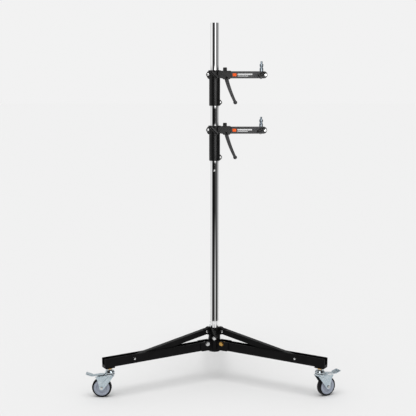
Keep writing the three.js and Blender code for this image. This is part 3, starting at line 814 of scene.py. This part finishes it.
def stud():
    points = rounded([
        (0, -8.5), (7.95, -8.5, 0.6), (7.95, 27, 0.4), (6.15, 28.6, 0.5), (6.15, 33.9, 0.5),
        (7.95, 35.5, 0.4), (7.95, 45, 0.9), (4.3, 45, 0.3), (4.3, 45.6),
    ], False, 3)
    return lathe(points + thread(4.7, 0.45, 1.25, 45.8, 55) + [(3.8, 56), (0, 56)], 48)


def tip_bolt():
    """Bolt head in the bar's round end."""
    profile = [(0, -13), (5.4, -13, 1.6), (7.4, -10.6, 0.5), (7.4, -9.9), (0, -9.9)]
    return carve(lathe(rounded(profile, False, 4), 36, "Y"), socket(2.4, -14, -11.6))


def stud_screw():
    """Screw head below the bar, which keeps the stud in its socket."""
    profile = [(0, -17.6), (3.6, -17.6, 1), (4.8, -15.6, 0.6), (4.8, -14.2), (0, -14.2)]
    return carve(lathe(rounded(profile, False, 3), 28), block((-6, -0.7, -19), (6, 0.7, -16.6)))


def label(x0, x1, z0, z1, corner, y):
    """Thin sticker on the bar's front face."""
    outline = rounded([(x0, z0, corner), (x1, z0, corner), (x1, z1, corner), (x0, z1, corner)])
    return prism(outline, y - 0.35, y, "Y", 0.1)


# ------------------------------------------------------------------ placing everything
def build_column():
    fine("column_tube", column_tube(), STAND, "chrome")
    fine("column_cap", column_cap(), STAND, "black_plastic")
    fine("stop_button", stop_button(), STAND, "steel")
    fine("hub", hub(), STAND, "black_paint")
    fine("collar", collar(), STAND, "black_paint")
    build_grip("collar_knob", "collar_screw", COLLAR_GRIP, STAND @ shift(0, 0, KNOB_Z))
    bolt = rounded([(0, -30.4), (6.5, -30.4, 1.6), (9.6, -27.2, 1.2), (9.6, -24.6), (0, -24.6)], False, 4)
    piece("hub_front_bolt", lathe(bolt, 40, "Y", (0, 0, 182)), STAND, "steel", "column")


def build_leg(side, heading, trail):
    reach = STAND @ turn(heading, "Z")
    pivot = reach @ shift(PIVOT_T, 0, PIVOT_Z) @ turn(LEG_TILT, "Y")
    fine(f"leg_{side}", leg(), pivot, "black_paint")
    strut_pin = headed_pin(PIN_R, 4.6, LEG_WIDTH / 2 + FIXED_GAP, 2)
    fine(f"strut_pin_{side}", strut_pin, pivot @ shift(STRUT_FOOT, 0, -LEG_DROP), "steel")
    bolt_finish = FINISH["brass"] if side == "right" else None
    fine(f"leg_bolt_{side}", leg_bolt(), reach @ shift(PIVOT_T, 0, PIVOT_Z), "steel", bolt_finish)
    foot_t, foot_z, length, slope = strut_line()
    rise = reach @ shift(foot_t, 0, foot_z) @ turn(180, "Z") @ turn(-slope, "Y")
    fine(f"strut_{side}", strut(length), rise, "black_paint")
    collar_pin = headed_pin(PIN_R, 5.6, STRUT_WIDTH / 2 + FIXED_GAP, 2.5)
    fine(f"collar_pin_{side}", collar_pin, reach @ shift(COLLAR_PIN_T, 0, COLLAR_PIN_Z), "steel")
    under = reach @ shift(CASTER_T)
    fine(f"caster_stem_{side}", caster_stem(), under, "steel")
    washer = ring(9.6, 7.6, PAD_UNDER - 5.4, PAD_UNDER - 0.3, 0.6, 40)
    piece(f"caster_washer_{side}", washer, under, "brass", f"leg_{side}")
    caster = under @ turn(trail - heading, "Z")
    fine(f"caster_fork_{side}", caster_fork(), caster, "zinc")
    piece(f"caster_race_{side}", caster_race(), caster, "zinc", f"caster_{side}", HEAD_PLATE)
    # dark ring in the gap between the swivel races: painted shade of that gap
    piece(f"caster_gap_shade_{side}", caster_gap_shade(), caster, "black_plastic", f"caster_{side}")
    piece(f"caster_cap_{side}", caster_cap(), caster, "zinc", f"caster_{side}", HEAD_PLATE)
    fine(f"brake_pedal_{side}", brake_pedal(), caster, "zinc")
    wheel = caster @ shift(TRAIL, 0, WHEEL_R)
    piece(f"axle_bolt_{side}", axle_bolt(), wheel, "steel", f"caster_{side}")
    fine(f"wheel_{side}", wheel_core(), wheel, "wheel_grey")
    for name, y in (("front", -12.6), ("back", 12.6)):
        piece(f"wheel_cap_{name}_{side}", wheel_bearing(y), wheel, "steel", f"wheel_{side}")
    fine(f"tyre_{side}", tyre(), wheel, "tyre")


def build_arm(name, z):
    arm = STAND @ shift(0, 0, z)
    body = f"{name}_arm"
    fine(f"{name}_liner", liner(), arm, "nylon")
    fine(f"{name}_sleeve", arm_sleeve(), arm, "black_paint", SLEEVE_PAINT)
    fine(f"{name}_bar", arm_bar(), arm, "arm_grey")
    for place, spec in (("top", TOP_ROLLER), ("low", LOW_ROLLER)):
        axis = arm @ shift(spec["x"], 0, spec["z"])
        fine(f"{name}_{place}_roller", roller(spec), axis, "black_plastic")
        fine(f"{name}_{place}_axle", roller_axle(spec), axis, "steel")
    fine(f"{name}_lever", brake_lever(), arm, "arm_grey")
    piece(f"{name}_lever_pin", lever_pin(), arm @ shift(50, 0, -12), "black_paint", body)
    fine(f"{name}_adjuster", adjuster(), arm @ shift(KNOB_X), "black_plastic")
    piece(f"{name}_adjuster_screw", adjuster_screw(), arm @ shift(KNOB_X), "steel", f"{name}_adjuster")
    build_grip(f"{name}_sleeve_knob", f"{name}_sleeve_screw", SLEEVE_GRIP, arm)
    build_grip(f"{name}_tip_knob", f"{name}_tip_screw", TIP_GRIP, arm @ shift(STUD_X, 0, 2))
    fine(f"{name}_stud", stud(), arm @ shift(STUD_X), "chrome", STUD_STEEL)
    piece(f"{name}_tip_bolt", tip_bolt(), arm @ shift(213), "steel", body)
    piece(f"{name}_stud_screw", stud_screw(), arm @ shift(STUD_X - 2), "steel", body)
    ground = label(73, 164, -12.6, 12.6, 1.5, -BAR_FACE + 0.2)
    piece(f"{name}_label_ground", ground, arm, "black_plastic", body, LABEL_GROUND)
    printed = -BAR_FACE - 0.05
    piece(f"{name}_label_accent", label(75.5, 91, -6, 6, 0.6, printed), arm, "label_accent", body)
    piece(f"{name}_label_line", label(96, 158, -1, 5, 1, printed), arm, "label_pale", body)
    piece(f"{name}_label_thin_line", label(96, 140, -6.4, -4, 0.8, printed), arm, "label_pale", body)


build_column()
for leg_name, (leg_heading, leg_trail) in LEGS.items():
    build_leg(leg_name, leg_heading, leg_trail)
for arm_name, arm_z in ARM_HEIGHTS.items():
    build_arm(arm_name, arm_z)


# ------------------------------------------------------------------ studio
PALE = 0.887  # linear value of the plain ground
SUN_SHARE = 0.7  # sunlight as a share of the light from all round
FLOOR_TONE = 0.588


def build_floor():
    size = 80
    mesh = bpy.data.meshes.new("floor")
    corners = [(-size, -size, 0), (size, -size, 0), (size, size, 0), (-size, size, 0)]
    mesh.from_pydata(corners, [], [(0, 1, 2, 3)])
    mat = bpy.data.materials.new("floor")
    mat.use_nodes = True
    shader = mat.node_tree.nodes["Principled BSDF"]
    shader.inputs["Base Color"].default_value = (FLOOR_TONE, FLOOR_TONE, FLOOR_TONE, 1)
    shader.inputs["Roughness"].default_value = 1
    shader.inputs["Specular IOR Level"].default_value = 0
    mesh.materials.append(mat)
    floor = bpy.data.objects.new("floor", mesh)
    bpy.context.scene.collection.objects.link(floor)


SCREEN_R, SCREEN_TOP = 1.0, 4.0
# Brightness round the studio as polished metal sees it: angle from the camera's side (+ to the right), value.
LOWER_STRIPS = (
    (-180, 0.66), (-130, 0.66), (-98, 1.0), (-84, 0.80), (-72, 0.42), (-60, 0.13), (-48, 0.02),
    (-34, 0.003), (-20, 0.003), (-12, 0.05), (-4, 0.30), (8, 0.20), (18, 0.55), (28, 1.0), (38, 0.14),
    (44, 0.004), (64, 0.002), (72, 0.08), (90, 0.26), (110, 0.40), (140, 0.58), (180, 0.66),
)
MIDDLE_STRIPS = (
    (-180, 0.66), (-130, 0.66), (-98, 1.0), (-84, 0.80), (-72, 0.42), (-60, 0.14), (-48, 0.008),
    (-34, 0.003), (-18, 0.003), (-6, 0.014), (6, 0.018), (18, 0.06), (30, 0.08), (44, 0.05), (56, 0.05),
    (68, 0.16), (90, 0.32), (110, 0.44), (140, 0.60), (180, 0.66),
)
SLEEVE_STRIPS = (
    (-180, 0.40), (-60, 0.40), (-46, 0.03), (-34, 0.01), (-18, 0.02), (-8, 0.9), (0, 2.0), (10, 3.5),
    (28, 3.8), (38, 1.6), (46, 0.3), (58, 0.05), (140, 0.05), (180, 0.40),
)
UPPER_STRIPS = (
    (-180, 0.66), (-130, 0.70), (-98, 1.05), (-84, 1.05), (-72, 0.85), (-58, 0.45), (-46, 0.04),
    (-34, 0.010), (-20, 0.012), (-12, 0.06), (-4, 0.18), (6, 0.42), (14, 1.2), (24, 1.7), (36, 1.2),
    (44, 0.20), (56, 0.06), (68, 0.16), (90, 0.32), (110, 0.42), (140, 0.58), (180, 0.66),
)
# Heights over which one set of strips passes to the next: from, to, next set.
BANDS = (
    (0.2, 0.6, MIDDLE_STRIPS),
    (0.86, 0.90, SLEEVE_STRIPS),
    (1.04, 1.07, MIDDLE_STRIPS),
    (1.15, 1.18, SLEEVE_STRIPS),
    (1.34, 1.38, UPPER_STRIPS),
)


def strip_ramp(tree, strips, factor):
    node = tree.nodes.new("ShaderNodeValToRGB")
    stops = node.color_ramp.elements
    stops.remove(stops[0])
    stops[0].position = 0
    for i, (angle, value) in enumerate(strips):
        stop = stops[0] if i == 0 else stops.new((angle + 180) / 360)
        stop.color = (value, value, value, 1)
    tree.links.new(factor, node.inputs["Fac"])
    return node.outputs["Color"]


def wall_material():
    """Emission with upright strips, whose set changes with height."""
    mat = bpy.data.materials.new("reflection_wall")
    mat.use_nodes = True
    tree = mat.node_tree
    tree.nodes.clear()
    where = tree.nodes.new("ShaderNodeTexCoord")
    centred = tree.nodes.new("ShaderNodeVectorMath")
    centred.operation = "SUBTRACT"
    centred.inputs[1].default_value = (axis_point.x, axis_point.y, 0)
    tree.links.new(where.outputs["Object"], centred.inputs[0])
    split = tree.nodes.new("ShaderNodeSeparateXYZ")
    tree.links.new(centred.outputs["Vector"], split.inputs["Vector"])

    def maths(operation, a, b):
        node = tree.nodes.new("ShaderNodeMath")
        node.operation = operation
        for slot, value in zip(node.inputs, (a, b)):
            if isinstance(value, (int, float)):
                slot.default_value = value
            else:
                tree.links.new(value, slot)
        return node.outputs["Value"]

    def blend(low, high, below, above):
        """The strips below a height pass over to the ones above it."""
        height = tree.nodes.new("ShaderNodeMapRange")
        height.inputs["From Min"].default_value = low
        height.inputs["From Max"].default_value = high
        tree.links.new(split.outputs["Z"], height.inputs["Value"])
        node = tree.nodes.new("ShaderNodeMix")
        node.data_type = "RGBA"
        tree.links.new(height.outputs["Result"], node.inputs["Factor"])
        tree.links.new(below, node.inputs["A"])
        tree.links.new(above, node.inputs["B"])
        return node.outputs["Result"]

    front = maths("MULTIPLY", split.outputs["Y"], -1)
    angle = maths("ARCTAN2", split.outputs["X"], front)
    share = maths("ADD", maths("DIVIDE", angle, math.tau), 0.5)
    light = strip_ramp(tree, LOWER_STRIPS, share)
    for low, high, strips in BANDS:
        light = blend(low, high, light, strip_ramp(tree, strips, share))
    glow = tree.nodes.new("ShaderNodeEmission")
    tree.links.new(light, glow.inputs["Color"])
    out = tree.nodes.new("ShaderNodeOutputMaterial")
    tree.links.new(glow.outputs["Emission"], out.inputs["Surface"])
    return mat


def build_screen():
    """Round wall of soft boxes and black flags, which only reflections see."""
    count = 96
    around = [math.tau * k / count for k in range(count)]
    low = [(SCREEN_R * math.cos(a), SCREEN_R * math.sin(a), 0.0) for a in around]
    high = [(x, y, SCREEN_TOP) for x, y, _ in low]
    faces = [(k, (k + 1) % count, count + (k + 1) % count, count + k) for k in range(count)]
    mesh = bpy.data.meshes.new("reflection_wall")
    mesh.from_pydata(low + high, [], faces)
    mesh.transform(Matrix.Translation((axis_point.x, axis_point.y, 0)))
    mesh.materials.append(wall_material())
    wall = bpy.data.objects.new("reflection_wall", mesh)
    bpy.context.scene.collection.objects.link(wall)
    wall.visible_camera = False
    wall.visible_diffuse = False
    wall.visible_shadow = False
    wall.visible_transmission = False


def build_lights():
    world = bpy.data.worlds.new("studio")
    world.use_nodes = True
    world.node_tree.nodes["Background"].inputs["Color"].default_value = (PALE, PALE, PALE, 1)
    bpy.context.scene.world = world
    sun = bpy.data.lights.new("top_light", "SUN")
    sun.energy = SUN_SHARE * PALE * math.pi
    sun.angle = math.radians(44)
    light = bpy.data.objects.new("top_light", sun)
    light.rotation_euler = (math.radians(12), math.radians(-2), 0)
    bpy.context.scene.collection.objects.link(light)


def build_camera():
    data = bpy.data.cameras.new("camera")
    data.sensor_width = 36
    data.lens = 78.32
    camera = bpy.data.objects.new("camera", data)
    camera.location = (axis_point.x - 0.02776, axis_point.y - 3.8319, 1.24706)
    camera.rotation_euler = (math.radians(90 - 7.43), 0, 0)
    bpy.context.scene.collection.objects.link(camera)
    bpy.context.scene.camera = camera


build_floor()
build_screen()
build_lights()
build_camera()
bpy.context.scene.view_settings.view_transform = "Standard"
